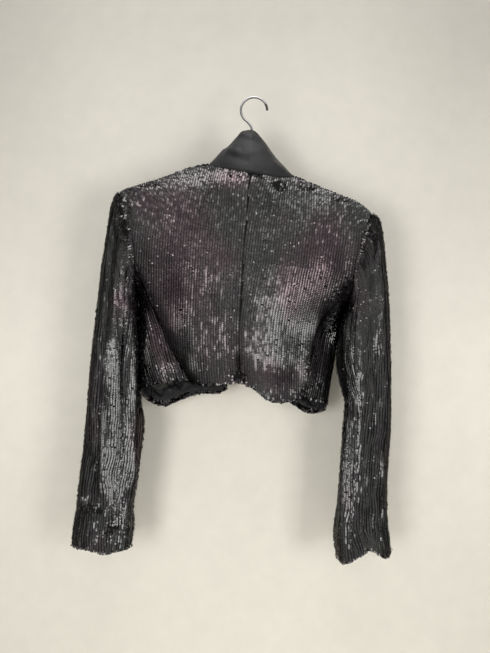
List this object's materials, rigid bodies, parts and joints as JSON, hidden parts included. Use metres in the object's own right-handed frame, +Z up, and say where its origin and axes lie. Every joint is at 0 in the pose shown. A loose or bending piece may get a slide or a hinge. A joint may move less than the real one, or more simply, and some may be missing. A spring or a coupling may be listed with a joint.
{
  "type": "cropped sequin blazer on a hanger",
  "caption": "Cropped open blazer of sequinned cloth with satin collar and lapels, hanging on a plain hanger with a wire hook.",
  "frame": {"origin": "inside crown of the hanger's hook, where a rail holds it", "axes": "+Z up, +X towards the wearer's right, -Y out of the garment's back"},
  "size_m": [0.528, 0.1235, 0.7675],
  "materials": {
    "sequins": "small overlapping sequins",
    "satin": "satin",
    "lining": "satin",
    "plastic": "matte",
    "chrome": "polished"
  },
  "bodies": {
    "root": {"back_left": "sequins", "back_right": "sequins", "side_left": "sequins", "side_right": "sequins", "front_left": "sequins", "front_right": "sequins", "sleeve_upper_left": "sequins", "sleeve_upper_right": "sequins", "sleeve_under_left": "sequins", "sleeve_under_right": "sequins", "collar": "satin", "lapel_left": "satin", "lapel_right": "satin", "lining_left": "lining", "lining_right": "lining", "hanger_bar": "plastic", "hanger_hook": "chrome"}
  },
  "joints": []
}
